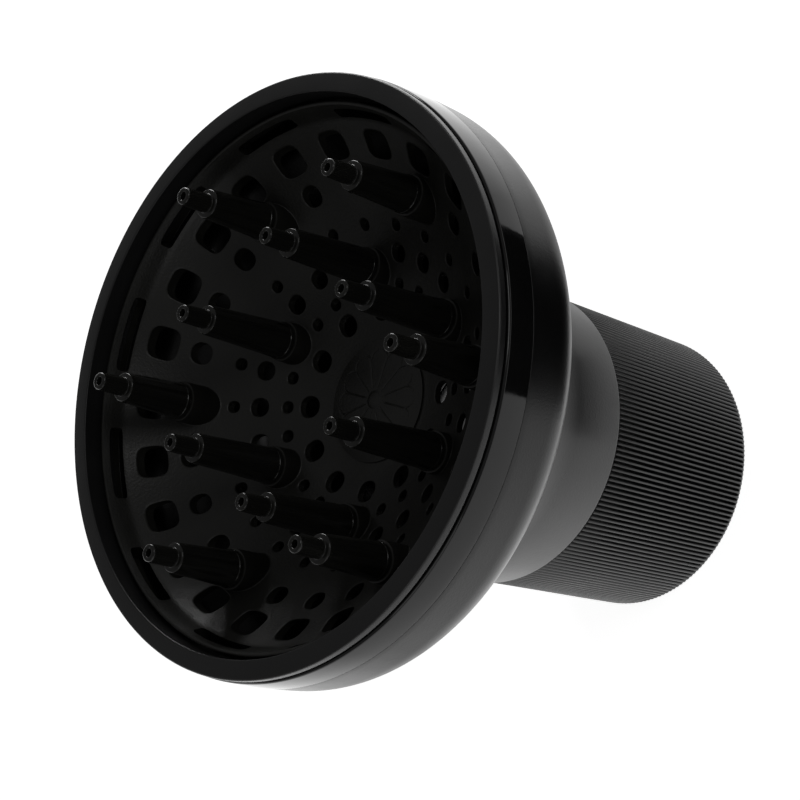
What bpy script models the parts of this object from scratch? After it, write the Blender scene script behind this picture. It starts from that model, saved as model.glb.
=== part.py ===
"""Universal hair-dryer diffuser: a perforated bowl with twelve hollow fingers, and a ribbed grip
sleeve that turns on the neck to close six jaws on the dryer's nozzle.

All sizes are in metres. The origin is the centre of the sleeve's rear face, +Z runs along the axis
out of the bowl, and +X passes through one of the outer fingers.
"""
import math

import bmesh
import bpy
from mathutils import Vector

# ---------------------------------------------------------------- driving dimensions
GAP = 0.0003               # clearance between neighbouring pieces
STEPS = 32                 # facets round the large turned pieces
RIM_RADIUS = 0.078         # bezel's outer edge
RIM_Z = 0.145              # plane of the bezel's front face
NECK_Z = 0.0571            # where the neck ends and the grip sleeve begins
NECK_RADIUS = 0.0409       # neck's outer radius at its end
NECK_BORE = 0.0389         # neck's inside radius, where the grip's collar turns
SHELL_WALL = 0.0024
GROOVE_LOW = 0.0593         # snap groove in the neck, for the bead on the grip's collar
GROOVE_HIGH = 0.0615
GROOVE_DEPTH = 0.0007
LUG_TOP = 0.0760           # screw lugs inside the neck

# bowl
DISH_SPHERE = 0.092        # radius of the spherical inside of the grille dish
DISH_FLOOR_Z = 0.105       # lowest point of that sphere
DISH_WALL = 0.002
DISH_FLAT = 0.017          # radius of the flat floor under the centre cap
DISH_EDGE = 0.0705         # inside radius at the dish's front edge
DISH_EDGE_Z = 0.1426
FLANGE_TOP = 0.1353
FLANGE_BOTTOM = 0.1333
FLANGE_RADIUS = 0.0754
BEZEL_BORE = 0.0727
CREASE_Z = 0.1340          # shell meets the gloss ring here
CREASE_RADIUS = 0.0788
TRIM_TOP = 0.1421          # gloss ring's lip, just under the bezel

SLOT_RING = 0.0696         # arc slots at the foot of the dish's front wall
SLOT_WIDTH = 0.0020
SLOT_HALF_ANGLE = math.radians(8.5)
SLOT_TOP = 0.1393          # how far up the wall they run

# fingers: ring radius, tip height, foot height, first angle in degrees
OUTER_FINGERS = {"ring": 0.0539, "tip": 0.15695, "foot": 0.1288, "start": 0}
INNER_FINGERS = {"ring": 0.0341, "tip": 0.1513, "foot": 0.1157, "start": 30}
FINGER_STEPS = 8
TIP_RADIUS = 0.0025
STEP_RADIUS = 0.0039
STEP_DROP = 0.0083         # from the tip down to the step
FOOT_RADIUS = 0.0051
TENON_RADIUS = 0.0030
BOSS_RADIUS = 0.0055

# grip, cam and jaws
GRIP_TOP_RADIUS = 0.0404
GRIP_REAR_RADIUS = 0.0387
GRIP_BORE = 0.0370
COLLAR_RADIUS = 0.0385
COLLAR_TOP = 0.0630
PLATE_BORE = 0.0210
CAM_BOTTOM = COLLAR_TOP + GAP
CAM_TOP = CAM_BOTTOM + 0.0022
PLATE_BOTTOM = CAM_TOP + GAP
PLATE_TOP = PLATE_BOTTOM + 0.0030
PLATE_RADIUS = NECK_BORE - GAP
JAWS = 6
GRIP_TURN = math.radians(60)
JAW_TRAVEL = 0.0105
PIN_OPEN = 0.0349          # jaw pin's distance from the axis with the jaws open
PIN_RADIUS = 0.0014
JAW_OUTER = 0.0366
JAW_INNER = 0.0342
JAW_HALF_ANGLE = math.radians(11.5)
SCREW_ANGLES = (30, 150, 270)
SCREW_RING = 0.0360
SCREW_HOLE = 0.00135
KEY_HALF = 0.0009          # half width of a jaw's square key

COLOURS = {
    "shell": ((0.020, 0.020, 0.022), 0.38),
    "gloss": ((0.010, 0.010, 0.011), 0.08),
    "bezel": ((0.022, 0.022, 0.024), 0.42),
    "grille": ((0.018, 0.018, 0.020), 0.45),
    "finger": ((0.016, 0.016, 0.017), 0.30),
    "grip": ((0.024, 0.024, 0.025), 0.55),
    "mechanism": ((0.060, 0.060, 0.065), 0.45),
    "pad": ((0.035, 0.035, 0.037), 0.85),
    "steel": ((0.500, 0.500, 0.510), 0.30),
}


# ---------------------------------------------------------------- scene helpers
def clear_scene():
    for item in list(bpy.data.objects):
        bpy.data.objects.remove(item, do_unlink=True)


def new_collection(name):
    collection = bpy.data.collections.new(name)
    bpy.context.scene.collection.children.link(collection)
    return collection


def material_for(name, look):
    """A Principled material of the node's own, with one of the named looks."""
    colour, roughness = COLOURS[look]
    material = bpy.data.materials.new(name)
    material.use_nodes = True
    shader = material.node_tree.nodes["Principled BSDF"]
    shader.inputs["Base Color"].default_value = (*colour, 1.0)
    shader.inputs["Roughness"].default_value = roughness
    shader.inputs["Metallic"].default_value = 1.0 if look == "steel" else 0.0
    material.diffuse_color = (*colour, 1.0)
    return material


def add_piece(name, mesh, look, turn=0.0, place=(0, 0, 0)):
    """Put a mesh in the parts collection as a named piece, turned about Z."""
    piece = bpy.data.objects.new(name, mesh)
    PARTS.objects.link(piece)
    piece.location = place
    piece.rotation_euler = (0, 0, turn)
    piece.material_slots[0].link = "OBJECT"
    piece.material_slots[0].material = material_for(name, look)
    return piece


def as_cutter(item):
    for collection in list(item.users_collection):
        collection.objects.unlink(item)
    CUTTERS.objects.link(item)
    item.hide_render = True
    item.display_type = "WIRE"
    return item


def boolean(target, tool, operation):
    modifier = target.modifiers.new(operation.title(), "BOOLEAN")
    modifier.operation = operation
    modifier.solver = "EXACT"
    modifier.object = tool


def baked_mesh(item, name):
    """The object's evaluated mesh, welded, with its one empty material slot."""
    depsgraph = bpy.context.evaluated_depsgraph_get()
    mesh = bpy.data.meshes.new_from_object(item.evaluated_get(depsgraph))
    mesh.name = name
    work = bmesh.new()
    work.from_mesh(mesh)
    bmesh.ops.remove_doubles(work, verts=work.verts, dist=0.000005)
    work.to_mesh(mesh)
    work.free()
    mesh.materials.clear()
    mesh.materials.append(None)
    mesh.shade_smooth()
    mesh.set_sharp_from_angle(angle=math.radians(32))
    return mesh


# ---------------------------------------------------------------- shape helpers
def turned(name, profile, steps=STEPS, closed=True):
    """A profile of (radius, height) points turned about Z, as an object with a Screw modifier."""
    mesh = bpy.data.meshes.new(name)
    points = [(radius, 0, height) for radius, height in profile]
    count = len(points)
    edges = [(i, (i + 1) % count) for i in range(count if closed else count - 1)]
    mesh.from_pydata(points, edges, [])
    item = bpy.data.objects.new(name, mesh)
    CUTTERS.objects.link(item)
    screw = item.modifiers.new("Screw", "SCREW")
    screw.axis = "Z"
    screw.steps = steps
    screw.render_steps = steps
    screw.use_merge_vertices = True
    screw.merge_threshold = 0.00001
    return item


def flat_prism(name, outlines, low, high):
    """Flat outlines, the first one outside and the others holes, as a solid from low to high."""
    curve = bpy.data.curves.new(name, "CURVE")
    curve.dimensions = "2D"
    curve.fill_mode = "BOTH"
    curve.extrude = (high - low) / 2
    for outline in outlines:
        spline = curve.splines.new("POLY")
        spline.points.add(len(outline) - 1)
        for point, (x, y) in zip(spline.points, outline):
            point.co = (x, y, 0, 1)
        spline.use_cyclic_u = True
    source = bpy.data.objects.new(name, curve)
    CUTTERS.objects.link(source)
    source.location.z = (high + low) / 2
    bpy.context.view_layer.update()
    mesh = baked_mesh(source, name)
    mesh.transform(source.matrix_world)
    bpy.data.objects.remove(source, do_unlink=True)
    item = bpy.data.objects.new(name, mesh)
    CUTTERS.objects.link(item)
    return item


def cylinder(name, radius, low, high, place=(0, 0), sides=12):
    """An upright cylinder with its ends at low and high."""
    mesh = bpy.data.meshes.new(name)
    work = bmesh.new()
    bmesh.ops.create_cone(work, cap_ends=True, segments=sides, radius1=radius, radius2=radius,
                          depth=high - low)
    bmesh.ops.translate(work, verts=work.verts, vec=(place[0], place[1], (low + high) / 2))
    work.to_mesh(mesh)
    work.free()
    item = bpy.data.objects.new(name, mesh)
    CUTTERS.objects.link(item)
    return item


def box(name, low, high, turn=0.0):
    """A box between two corners, turned about the Z axis."""
    mesh = bpy.data.meshes.new(name)
    work = bmesh.new()
    bmesh.ops.create_cube(work, size=1.0)
    low, high = Vector(low), Vector(high)
    bmesh.ops.scale(work, verts=work.verts, vec=high - low)
    bmesh.ops.translate(work, verts=work.verts, vec=(low + high) / 2)
    work.to_mesh(mesh)
    work.free()
    item = bpy.data.objects.new(name, mesh)
    item.rotation_euler.z = turn
    CUTTERS.objects.link(item)
    return item


def joined(name, items):
    """Several separate solids as one cutter."""
    work = bmesh.new()
    bpy.context.view_layer.update()
    for item in items:
        copy = item.data.copy()
        copy.transform(item.matrix_world)
        work.from_mesh(copy)
        bpy.data.meshes.remove(copy)
        bpy.data.objects.remove(item, do_unlink=True)
    mesh = bpy.data.meshes.new(name)
    work.to_mesh(mesh)
    work.free()
    return as_cutter(bpy.data.objects.new(name, mesh))


def polar(radius, angle):
    return (radius * math.cos(angle), radius * math.sin(angle))


def arc(radius, start, end, count):
    """Points from angle start to angle end on a circle about the axis."""
    step = (end - start) / count
    return [polar(radius, start + step * i) for i in range(count + 1)]


def ring(radius, count=STEPS):
    return arc(radius, 0, math.tau, count)[:-1]


def sector(inner, outer, middle, half_angle, count=4):
    """Outline of an annular sector."""
    return (arc(outer, middle - half_angle, middle + half_angle, count)
            + arc(inner, middle + half_angle, middle - half_angle, count))


def bezier(a, b, c, d, count):
    """Points after a, up to and with d, on a cubic Bezier curve."""
    points = []
    for i in range(1, count + 1):
        t = i / count
        s = 1 - t
        weights = (s ** 3, 3 * s * s * t, 3 * s * t * t, t ** 3)
        points.append(tuple(sum(w * p[k] for w, p in zip(weights, (a, b, c, d))) for k in (0, 1)))
    return points


def inset(points, distance):
    """A downward profile moved inwards, towards the axis side of each of its points."""
    moved = []
    for i, (radius, height) in enumerate(points):
        before = points[max(i - 1, 0)]
        after = points[min(i + 1, len(points) - 1)]
        run = Vector((after[0] - before[0], after[1] - before[1])).normalized()
        moved.append((radius + run.y * distance, height - run.x * distance))
    return moved


def sphere_height(radius, sphere=DISH_SPHERE):
    """Height of the dish's sphere, or of one that shares its centre, at a distance from the axis."""
    centre = DISH_FLOOR_Z + DISH_SPHERE
    return centre - math.sqrt(sphere ** 2 - radius ** 2)


def finish_piece(item, name, look, turn=0.0):
    """Bake an object's modifiers into a mesh and put it in the parts collection."""
    bpy.context.view_layer.update()
    mesh = baked_mesh(item, name)
    as_cutter(item)
    return add_piece(name, mesh, look, turn)


# ---------------------------------------------------------------- bowl
def shell_profile():
    """Outer shell: shoulder, funnel and neck outside, snap groove, ledge and upstand inside."""
    top = (CREASE_RADIUS - 0.0001, CREASE_Z)
    shoulder = (0.0780, 0.1245)
    funnel = (0.0690, 0.1118)
    throat = (0.0416, 0.0740)
    outside = [top, shoulder]
    outside += bezier(shoulder, (0.0777, 0.1180), (0.0752, 0.1151), funnel, 4)
    outside += bezier(funnel, (0.0565, 0.1048), (0.0426, 0.0980), throat, 6)
    inside = inset(outside, SHELL_WALL)[1:]
    inside.reverse()
    bore = [(NECK_RADIUS, NECK_Z), (NECK_BORE, NECK_Z), (NECK_BORE, GROOVE_LOW),
            (NECK_BORE + GROOVE_DEPTH, GROOVE_LOW), (NECK_BORE + GROOVE_DEPTH, GROOVE_HIGH),
            (NECK_BORE, GROOVE_HIGH)]
    ledge = [(0.0754, 0.1280), (0.0735, 0.1300), (0.0735, FLANGE_BOTTOM - GAP),
             (FLANGE_RADIUS + GAP, FLANGE_BOTTOM - GAP), (FLANGE_RADIUS + GAP, 0.1409),
             (0.0769, 0.1409), (0.0769, CREASE_Z)]
    return outside + bore + inside + ledge


def screw_holes(name, low, high):
    """The three screws' holes as one cutter."""
    return joined(name, [cylinder(f"{name}_{angle}", SCREW_HOLE, low, high,
                                  polar(SCREW_RING, math.radians(angle)), 8) for angle in SCREW_ANGLES])


def build_outer_shell():
    shell = turned("outer_shell_turned", shell_profile())
    lugs = []
    for number, angle in enumerate(SCREW_ANGLES):
        lug = box(f"screw_lug_{number}", (0.0335, -0.004, PLATE_TOP + GAP), (0.0400, 0.004, LUG_TOP),
                  math.radians(angle))
        lugs.append(lug)
    boolean(shell, joined("screw_lugs", lugs), "UNION")
    boolean(shell, screw_holes("lug_holes", PLATE_TOP, LUG_TOP + 0.001), "DIFFERENCE")
    return finish_piece(shell, "outer_shell", "shell")


def build_trim_ring():
    low = CREASE_Z + GAP
    profile = [(0.0772, TRIM_TOP), (0.0780, TRIM_TOP), (0.0784, TRIM_TOP - 0.0005),
               (CREASE_RADIUS, low), (0.0772, low)]
    return finish_piece(turned("trim_ring_turned", profile), "trim_ring", "gloss")


def build_front_bezel():
    skirt = FLANGE_TOP + GAP
    profile = [(BEZEL_BORE + 0.0004, RIM_Z + 0.0006), (RIM_RADIUS - 0.0005, RIM_Z + 0.0002),
               (RIM_RADIUS, RIM_Z - 0.0002), (RIM_RADIUS, 0.1430), (RIM_RADIUS - 0.0004, 0.1424),
               (0.0754, 0.1424), (0.0754, skirt), (BEZEL_BORE, skirt), (BEZEL_BORE, RIM_Z + 0.0001)]
    return finish_piece(turned("front_bezel_turned", profile), "front_bezel", "bezel")


def dish_profile():
    """Grille dish: flange and underside outside, sphere and steep front wall inside."""
    under = DISH_SPHERE + DISH_WALL
    angle_out = [math.asin(r / under) for r in (0.0692, DISH_FLAT)]
    angle_in = [math.asin(r / DISH_SPHERE) for r in (DISH_FLAT, 0.0685)]
    centre = DISH_FLOOR_Z + DISH_SPHERE
    below, above = [], []
    count = 4
    for i in range(count + 1):
        a = angle_out[0] + (angle_out[1] - angle_out[0]) * i / count
        b = angle_in[0] + (angle_in[1] - angle_in[0]) * i / count
        below.append((under * math.sin(a), centre - under * math.cos(a)))
        above.append((DISH_SPHERE * math.sin(b), centre - DISH_SPHERE * math.cos(b)))
    rim = [(DISH_EDGE + 0.001, DISH_EDGE_Z), (DISH_EDGE + 0.001, FLANGE_TOP),
           (FLANGE_RADIUS, FLANGE_TOP), (FLANGE_RADIUS, FLANGE_BOTTOM), (0.0696, FLANGE_BOTTOM)]
    floor = [(0.0084, below[-1][1]), (0.0084, above[0][1])]
    wall = [(0.0699, 0.1395), (DISH_EDGE, DISH_EDGE_Z)]
    return rim + below + floor + above + wall


def hole_angles(step, skip=(), start=0):
    """Angles in degrees of one ring of holes, without those under a finger's boss."""
    return [angle for angle in range(start, 360, step) if angle % 60 not in skip]


def turned_outline(points, radius, degrees):
    """A flat outline moved out along +X to a radius, then turned about the axis."""
    turn = math.radians(degrees)
    cosine, sine = math.cos(turn), math.sin(turn)
    return [((radius + x) * cosine - y * sine, (radius + x) * sine + y * cosine) for x, y in points]


def oval(size_radial, size_round, sides):
    """An oval with a flat side facing the axis."""
    angles = [math.tau * (i + 0.5) / sides for i in range(sides)]
    return [(size_radial / 2 * math.cos(a), size_round / 2 * math.sin(a)) for a in angles]


def blunt_square(size_radial, size_round, cut=0.0016):
    """A rectangle with its four corners cut, standing for a rounded square."""
    a, b = size_radial / 2, size_round / 2
    return [(a, -b + cut), (a, b - cut), (a - cut, b), (-a + cut, b),
            (-a, b - cut), (-a, -b + cut), (-a + cut, -b), (a - cut, -b)]


# radius of each ring of holes, its step in degrees, the angles it skips and the holes' shape
HOLE_RINGS = (
    (0.0632, 15, (), blunt_square(0.0059, 0.0086)),
    (0.0550, 15, (0,), oval(0.0047, 0.0058, 6)),
    (0.0452, 15, (), oval(0.0028, 0.0031, 4)),
    (0.0385, 15, (30,), oval(0.0046, 0.0050, 6)),
    (0.0308, 15, (30,), oval(0.0030, 0.0032, 4)),
    (0.0243, 30, (), oval(0.0056, 0.0057, 6)),
)


def dish_cutters():
    """All the grille's holes, as upright prisms that pass through the dish."""
    outlines = [sector(SLOT_RING - SLOT_WIDTH / 2, SLOT_RING + SLOT_WIDTH / 2, math.radians(degrees),
                       SLOT_HALF_ANGLE, 3) for degrees in hole_angles(30, start=15)]
    for radius, step, skip, shape in HOLE_RINGS:
        for degrees in hole_angles(step, skip):
            outlines.append(turned_outline(shape, radius, degrees))
    prisms = [flat_prism(f"grille_hole_{number}", [outline], DISH_FLOOR_Z - 0.003, SLOT_TOP)
              for number, outline in enumerate(outlines)]
    return joined("grille_holes", prisms)


def finger_places(group):
    for number in range(6):
        angle = math.radians(group["start"] + 60 * number)
        yield number + 1, angle, polar(group["ring"], angle)


def build_grille_dish():
    dish = turned("grille_dish_turned", dish_profile())
    bosses, bores = [], []
    for group in (OUTER_FINGERS, INNER_FINGERS):
        low = sphere_height(group["ring"] - BOSS_RADIUS) - DISH_WALL / 2
        for number, _, place in finger_places(group):
            bosses.append(cylinder(f"boss_{number}", BOSS_RADIUS, low, group["foot"] - GAP, place))
            bores.append(cylinder(f"bore_{number}", TENON_RADIUS + GAP, low - 0.010,
                                  group["foot"] + 0.002, place))
    boolean(dish, joined("finger_bosses", bosses), "UNION")
    boolean(dish, joined("finger_bores", bores), "DIFFERENCE")
    boolean(dish, dish_cutters(), "DIFFERENCE")
    return finish_piece(dish, "grille_dish", "grille")


def build_centre_cap():
    seat = sphere_height(DISH_FLAT) + GAP
    under = sphere_height(DISH_FLAT, DISH_SPHERE + DISH_WALL)
    profile = [(0.0, seat + 0.0018), (0.0016, seat + 0.0017), (0.0024, seat + 0.0012),
               (0.0110, seat + 0.0010), (0.0164, seat + 0.0003), (0.0164, seat), (0.0080, seat),
               (0.0080, under - GAP), (0.0087, under - GAP), (0.0078, under - 0.0016),
               (0.0, under - 0.0016)]
    return finish_piece(turned("centre_cap_turned", profile, 36, closed=False), "centre_cap", "grille")


def finger_mesh(name, group):
    """A hollow finger: rounded tip, step, tapered body, and a tenon through the dish's boss."""
    tip, foot = group["tip"], group["foot"]
    step = tip - STEP_DROP
    tenon_end = sphere_height(group["ring"] - BOSS_RADIUS) - DISH_WALL - 0.0005
    profile = [(0.0010, tip - 0.0002), (0.0016, tip), (TIP_RADIUS - 0.0002, tip - 0.0004),
               (TIP_RADIUS + 0.0001, tip - 0.0012), (0.0032, step + 0.0002), (STEP_RADIUS - 0.0002, step),
               (STEP_RADIUS, step - 0.0007), (FOOT_RADIUS, foot + 0.0008), (FOOT_RADIUS - 0.0002, foot),
               (TENON_RADIUS, foot), (TENON_RADIUS, tenon_end), (0.0018, tenon_end),
               (0.0018, tip - 0.0040), (0.0010, tip - 0.0025)]
    source = turned(name + "_turned", profile, FINGER_STEPS)
    bpy.context.view_layer.update()
    mesh = baked_mesh(source, name)
    as_cutter(source)
    return mesh


def build_fingers():
    for label, group in (("outer", OUTER_FINGERS), ("inner", INNER_FINGERS)):
        mesh = finger_mesh(f"{label}_finger", group)
        for number, angle, place in finger_places(group):
            add_piece(f"{label}_finger_{number}", mesh, "finger", angle, (*place, 0))


# ---------------------------------------------------------------- grip and jaws
def build_grip_sleeve():
    flange = NECK_Z - GAP
    profile = [(COLLAR_RADIUS, COLLAR_TOP), (COLLAR_RADIUS, 0.0610), (COLLAR_RADIUS + 0.0006, 0.0606),
               (COLLAR_RADIUS + 0.0006, 0.0602), (COLLAR_RADIUS, 0.0597), (COLLAR_RADIUS, flange),
               (GRIP_TOP_RADIUS - 0.0004, flange), (GRIP_TOP_RADIUS, flange - 0.0004),
               (GRIP_REAR_RADIUS, 0.0008), (GRIP_REAR_RADIUS - 0.0005, 0.0),
               (GRIP_BORE + 0.0002, 0.0), (GRIP_BORE, 0.0002), (GRIP_BORE, COLLAR_TOP)]
    sleeve = turned("grip_sleeve_turned", profile)
    notches = [flat_prism(f"notch_{i}", [sector(0.0360, 0.0395, math.radians(90 + 120 * i),
                                                math.radians(6.5), 2)], 0.0610, 0.0640)
               for i in range(3)]
    boolean(sleeve, joined("collar_notches", notches), "DIFFERENCE")
    return finish_piece(sleeve, "grip_sleeve", "grip")


def rounded_end(centre, corner, forward):
    """Three points round a slot's end, from near one corner to near the other."""
    side = corner - centre
    return [centre + (forward + side) * 0.7, centre + forward, centre + (forward - side) * 0.7]


def spiral_slot(start):
    """Outline of one cam slot. Its radius falls evenly with angle, so a turn of the ring draws the
    jaw's pin towards the axis."""
    half = PIN_RADIUS + GAP
    count = 12
    centres = []
    for i in range(count + 1):
        share = i / count
        centres.append(Vector(polar(PIN_OPEN - JAW_TRAVEL * share, start - GRIP_TURN * share)))
    left, right = [], []
    for i, point in enumerate(centres):
        run = (centres[min(i + 1, count)] - centres[max(i - 1, 0)]).normalized()
        side = Vector((-run.y, run.x)) * half
        left.append(point + side)
        right.append(point - side)
    right.reverse()
    start_end = rounded_end(centres[0], right[-1], (centres[0] - centres[1]).normalized() * half)
    far_end = rounded_end(centres[-1], left[-1], (centres[-1] - centres[-2]).normalized() * half)
    return [(p.x, p.y) for p in start_end + left + far_end + right]


def build_cam_ring():
    """Cam ring: spiral slots, and three keys that sit in the collar's notches."""
    slots = [spiral_slot(math.tau * i / JAWS) for i in range(JAWS)]
    cam = flat_prism("cam_ring_flat", [ring(COLLAR_RADIUS), ring(PLATE_BORE)] + slots, CAM_BOTTOM, CAM_TOP)
    keys = [flat_prism(f"key_{i}", [sector(0.0371, 0.0384, math.radians(90 + 120 * i),
                                           math.radians(6.0), 2)], 0.0614, CAM_BOTTOM + 0.0005)
            for i in range(3)]
    boolean(cam, joined("cam_keys", keys), "UNION")
    return finish_piece(cam, "cam_ring", "mechanism")


def build_guide_plate():
    """Fixed plate with a radial slot for each jaw's slider and a blind hole for each screw."""
    inner, outer, half = PIN_OPEN - JAW_TRAVEL - 0.0025, PIN_OPEN + 0.0025, 0.0033
    corners = [(inner, -half), (outer, -half), (outer, half), (inner, half)]
    slots = [turned_outline(corners, 0, 360 * i / JAWS) for i in range(JAWS)]
    plate = flat_prism("guide_plate_flat", [ring(PLATE_RADIUS), ring(PLATE_BORE)] + slots,
                       PLATE_BOTTOM, PLATE_TOP)
    holes = screw_holes("plate_holes", PLATE_BOTTOM + 0.0006, PLATE_TOP + 0.001)
    boolean(plate, holes, "DIFFERENCE")
    return finish_piece(plate, "guide_plate", "mechanism")


def screw_mesh():
    """Pan-head screw with a square recess, pointing down."""
    seat = LUG_TOP + GAP
    profile = [(0.0, seat + 0.0014), (0.0016, seat + 0.0013), (0.0021, seat + 0.0008), (0.0021, seat),
               (0.0010, seat), (0.0010, PLATE_BOTTOM + 0.0010), (0.0, PLATE_BOTTOM + 0.0008)]
    source = turned("plate_screw_turned", profile, 12, closed=False)
    recess = box("screw_recess", (-0.0006, -0.0006, seat + 0.0006), (0.0006, 0.0006, seat + 0.0020))
    boolean(source, as_cutter(recess), "DIFFERENCE")
    bpy.context.view_layer.update()
    mesh = baked_mesh(source, "plate_screw")
    as_cutter(source)
    return mesh


def build_plate_screws():
    mesh = screw_mesh()
    for number, angle in enumerate(SCREW_ANGLES):
        turn = math.radians(angle)
        add_piece(f"plate_screw_{number + 1}", mesh, "steel", turn, (*polar(SCREW_RING, turn), 0))


def build_rear_ring():
    """Lead-in ring that closes the gap behind the jaws at the nozzle end."""
    outer = GRIP_BORE - GAP
    profile = [(outer, 0.0040), (outer, 0.0006), (0.0350, 0.0006), (0.0334, 0.0022), (0.0334, 0.0040)]
    return finish_piece(turned("rear_ring_turned", profile), "rear_ring", "mechanism")


def jaw_mesh():
    """Jaw on +X: curved wall, foot under the cam ring, round cam pin and square guide key."""
    foot_top = CAM_BOTTOM - GAP
    jaw = flat_prism("jaw_wall", [sector(JAW_INNER, JAW_OUTER, 0, JAW_HALF_ANGLE)], 0.0060, foot_top)
    foot = flat_prism("jaw_foot", [sector(0.0318, JAW_OUTER, 0, JAW_HALF_ANGLE)], 0.0592, foot_top)
    pin = cylinder("jaw_pin", PIN_RADIUS, 0.0600, PLATE_BOTTOM, (PIN_OPEN, 0))
    key = box("jaw_key", (PIN_OPEN - KEY_HALF, -KEY_HALF, 0.0600),
              (PIN_OPEN + KEY_HALF, KEY_HALF, PLATE_TOP + 0.0016))
    for tool in (foot, pin, key):
        boolean(jaw, as_cutter(tool), "UNION")
    bpy.context.view_layer.update()
    mesh = baked_mesh(jaw, "jaw")
    as_cutter(jaw)
    return mesh


def pad_mesh():
    """Soft pad on the inside of a jaw."""
    pad = flat_prism("jaw_pad_block", [sector(0.0325, JAW_INNER - GAP, 0, JAW_HALF_ANGLE * 0.94)],
                     0.0070, 0.0580)
    mesh = baked_mesh(pad, "jaw_pad")
    as_cutter(pad)
    return mesh


def slider_mesh():
    """T-shaped slider: its stem fills the guide slot and its cap rests on the guide plate."""
    stem = box("slider_stem", (PIN_OPEN - 0.0022, -0.0030, PLATE_BOTTOM + GAP),
               (PIN_OPEN + 0.0022, 0.0030, PLATE_TOP + 0.0010))
    cap = box("slider_cap", (PIN_OPEN - 0.0024, -0.0046, PLATE_TOP + GAP),
              (PIN_OPEN + 0.0024, 0.0046, PLATE_TOP + 0.0014))
    half = KEY_HALF + GAP
    bore = box("slider_bore", (PIN_OPEN - half, -half, PLATE_BOTTOM - 0.001),
               (PIN_OPEN + half, half, PLATE_TOP + 0.003))
    boolean(stem, as_cutter(cap), "UNION")
    boolean(stem, as_cutter(bore), "DIFFERENCE")
    bpy.context.view_layer.update()
    mesh = baked_mesh(stem, "jaw_slider")
    as_cutter(stem)
    return mesh


def build_jaws():
    pieces = (("jaw", jaw_mesh(), "mechanism"), ("jaw_pad", pad_mesh(), "pad"),
              ("jaw_slider", slider_mesh(), "mechanism"))
    for number in range(JAWS):
        for name, mesh, look in pieces:
            add_piece(f"{name}_{number + 1}", mesh, look, math.tau * number / JAWS)


clear_scene()
PARTS = new_collection("dryer_diffuser")
CUTTERS = new_collection("cutters")
build_outer_shell()
build_trim_ring()
build_front_bezel()
build_grille_dish()
build_centre_cap()
build_fingers()
build_guide_plate()
build_plate_screws()
build_cam_ring()
build_grip_sleeve()
build_rear_ring()
build_jaws()
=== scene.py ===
"""Looks of the dryer diffuser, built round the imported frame.

Sizes are in metres, in the frame's own axes: +Z runs along the axis out of the bowl, +X passes through
an outer finger, and the origin is the centre of the grip sleeve's rear face.
"""
import math

import bmesh
import bpy
from mathutils import Euler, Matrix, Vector


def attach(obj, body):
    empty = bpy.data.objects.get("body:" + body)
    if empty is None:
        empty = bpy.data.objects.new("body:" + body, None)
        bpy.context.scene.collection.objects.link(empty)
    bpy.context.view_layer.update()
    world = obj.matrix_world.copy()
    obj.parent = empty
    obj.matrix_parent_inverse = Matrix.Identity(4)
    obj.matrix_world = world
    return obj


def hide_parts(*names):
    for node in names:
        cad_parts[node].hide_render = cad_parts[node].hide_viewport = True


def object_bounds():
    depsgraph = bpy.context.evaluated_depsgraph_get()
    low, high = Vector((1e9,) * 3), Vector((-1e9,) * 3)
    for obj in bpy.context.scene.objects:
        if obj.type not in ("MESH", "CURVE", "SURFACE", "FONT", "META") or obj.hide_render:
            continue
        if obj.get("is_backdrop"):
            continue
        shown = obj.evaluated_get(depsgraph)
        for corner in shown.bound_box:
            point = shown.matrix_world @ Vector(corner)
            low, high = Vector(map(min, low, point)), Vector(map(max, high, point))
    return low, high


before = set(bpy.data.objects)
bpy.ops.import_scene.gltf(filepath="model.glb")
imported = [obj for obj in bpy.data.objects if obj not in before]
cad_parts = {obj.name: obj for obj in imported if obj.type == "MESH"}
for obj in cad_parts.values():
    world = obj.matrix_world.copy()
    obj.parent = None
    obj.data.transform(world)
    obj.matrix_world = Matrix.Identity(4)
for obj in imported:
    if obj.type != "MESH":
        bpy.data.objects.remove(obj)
CAD_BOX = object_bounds()

# ---------------------------------------------------------------- sizes shared with the solids
GAP = 0.0003
RIM_RADIUS = 0.078
RIM_Z = 0.145
NECK_Z = 0.0571
NECK_RADIUS = 0.0409
NECK_BORE = 0.0389
SHELL_WALL = 0.0024
DISH_SPHERE = 0.092
DISH_FLOOR_Z = 0.105
DISH_WALL = 0.002
DISH_BORE = 0.0084
DISH_FLAT = 0.017
DISH_EDGE = 0.0705
DISH_EDGE_Z = 0.1409
WALL_FOOT = 0.0685          # where the dish's sphere turns up into its steep front wall
WALL_BEND = (0.0699, 0.1395)
FLANGE_TOP = 0.1353
FLANGE_BOTTOM = 0.1333
FLANGE_RADIUS = 0.0754
BEZEL_BORE = 0.0727
CREASE_Z = 0.1340
CREASE_RADIUS = 0.0788
TRIM_TOP = 0.1421
SLOT_INNER = 0.0685         # the slots' reach: floor, then through the wall and flange
SLOT_OUTER = 0.0732
SLOT_TOP = 0.1393
SLOT_HALF_ANGLE = math.radians(8.5)
OUTER_FINGERS = {"ring": 0.0539, "tip": 0.15695, "foot": 0.1288, "start": 0}
INNER_FINGERS = {"ring": 0.0341, "tip": 0.1513, "foot": 0.1157, "start": 30}
STEP_DROP = 0.0083
TENON_RADIUS = 0.0030
BOSS_RADIUS = 0.0055
GRIP_TOP_RADIUS = 0.0404
GRIP_REAR_RADIUS = 0.0387
GRIP_BORE = 0.0370
COLLAR_RADIUS = 0.0385
COLLAR_TOP = 0.0630
PLATE_BORE = 0.0210
CAM_BOTTOM = COLLAR_TOP + GAP
CAM_TOP = CAM_BOTTOM + 0.0022
PLATE_BOTTOM = CAM_TOP + GAP
PLATE_TOP = PLATE_BOTTOM + 0.0030
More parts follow.
